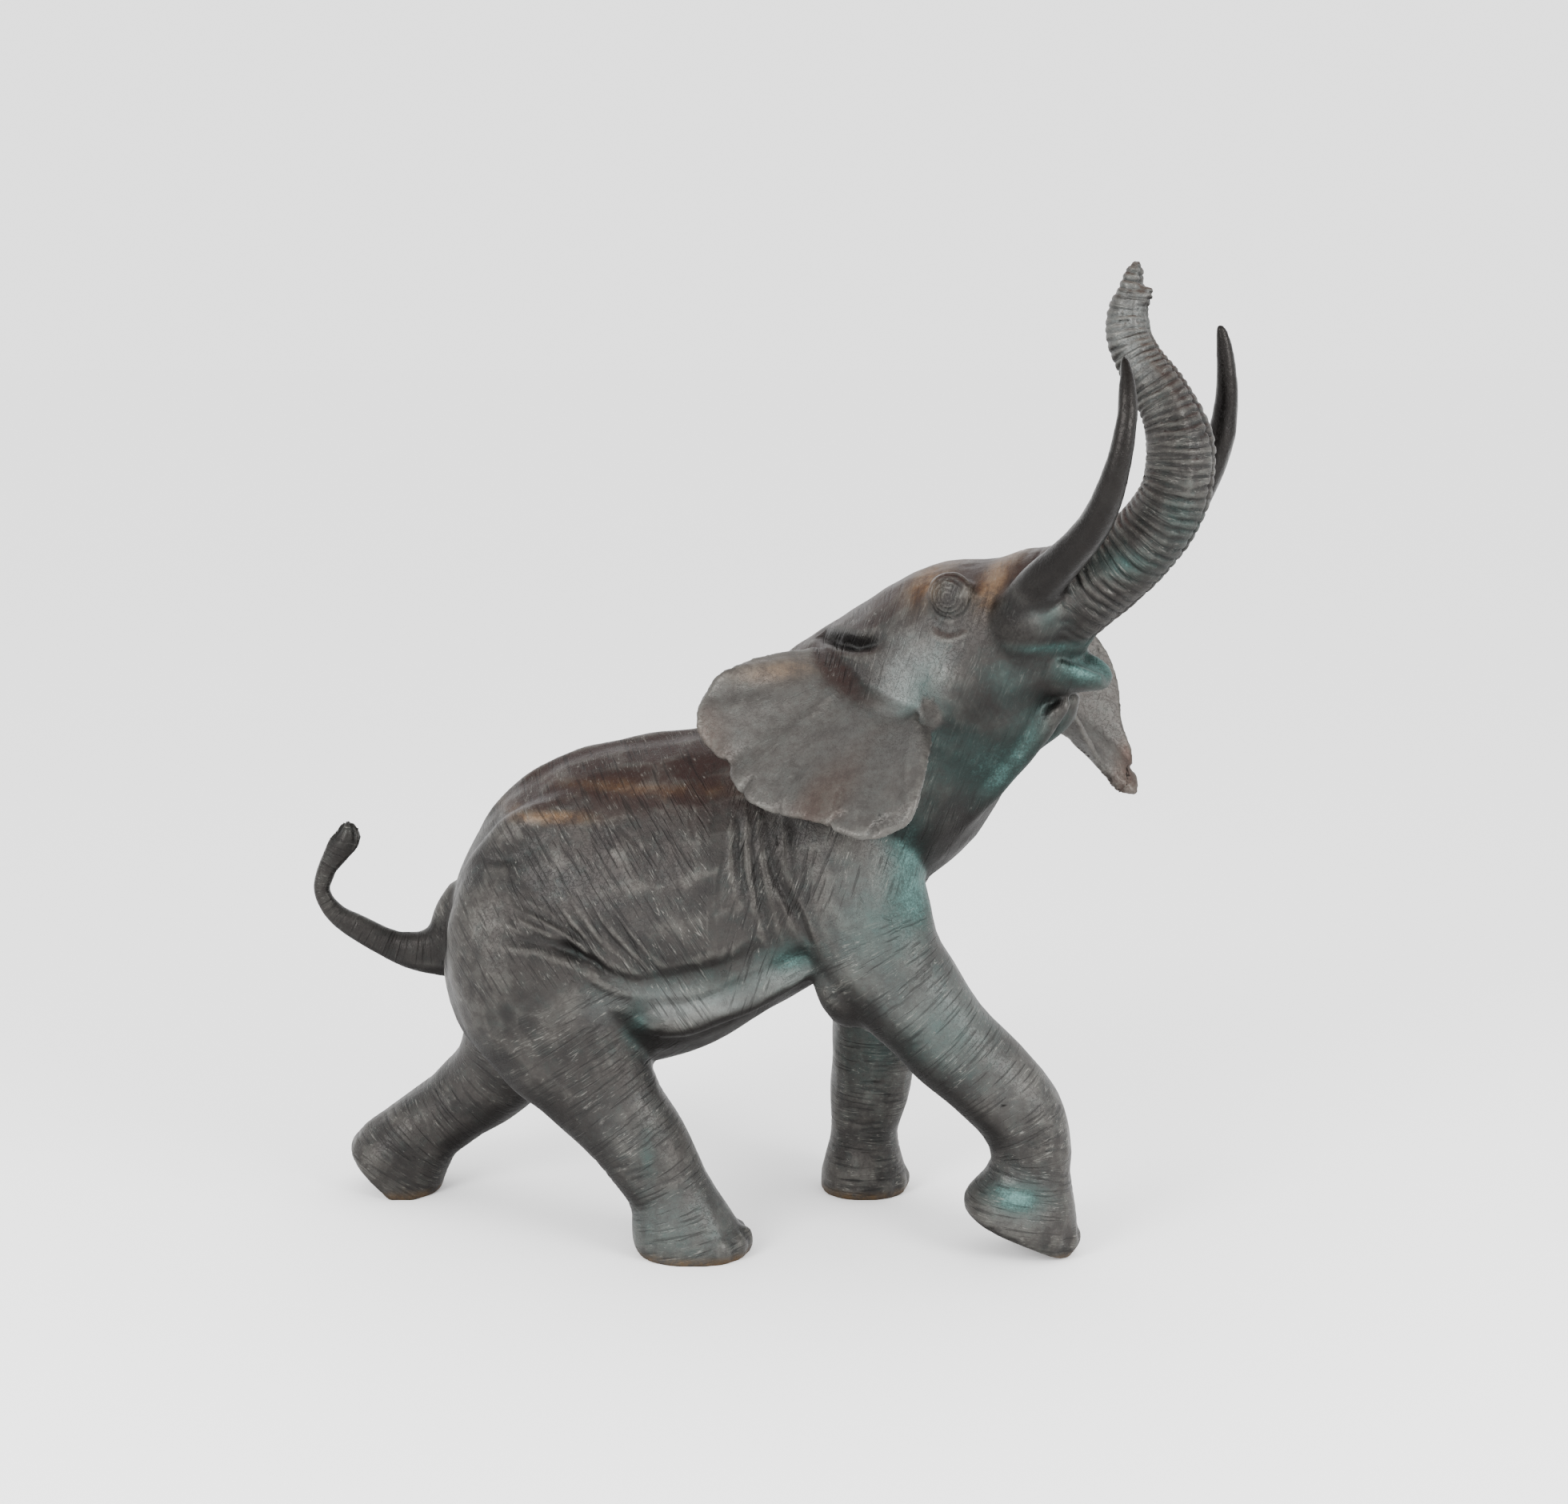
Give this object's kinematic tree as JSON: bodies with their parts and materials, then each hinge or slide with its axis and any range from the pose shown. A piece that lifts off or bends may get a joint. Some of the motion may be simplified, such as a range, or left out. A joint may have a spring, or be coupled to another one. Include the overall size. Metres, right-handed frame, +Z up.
{
  "type": "elephant sculpture",
  "caption": "Cast bronze sculpture of a running elephant with spread ears, its trunk raised high between upswept tusks, standing on its own feet.",
  "frame": {"origin": "centre of the bounding box, on the ground the feet stand on", "axes": "+Z up, +X the way the elephant runs, +Y its left side"},
  "size_m": [1.7612, 0.8212, 1.8993],
  "materials": {
    "bronze": "satin brown patina with green verdigris in the hollows"
  },
  "bodies": {
    "root": {"elephant": "bronze"}
  },
  "joints": []
}
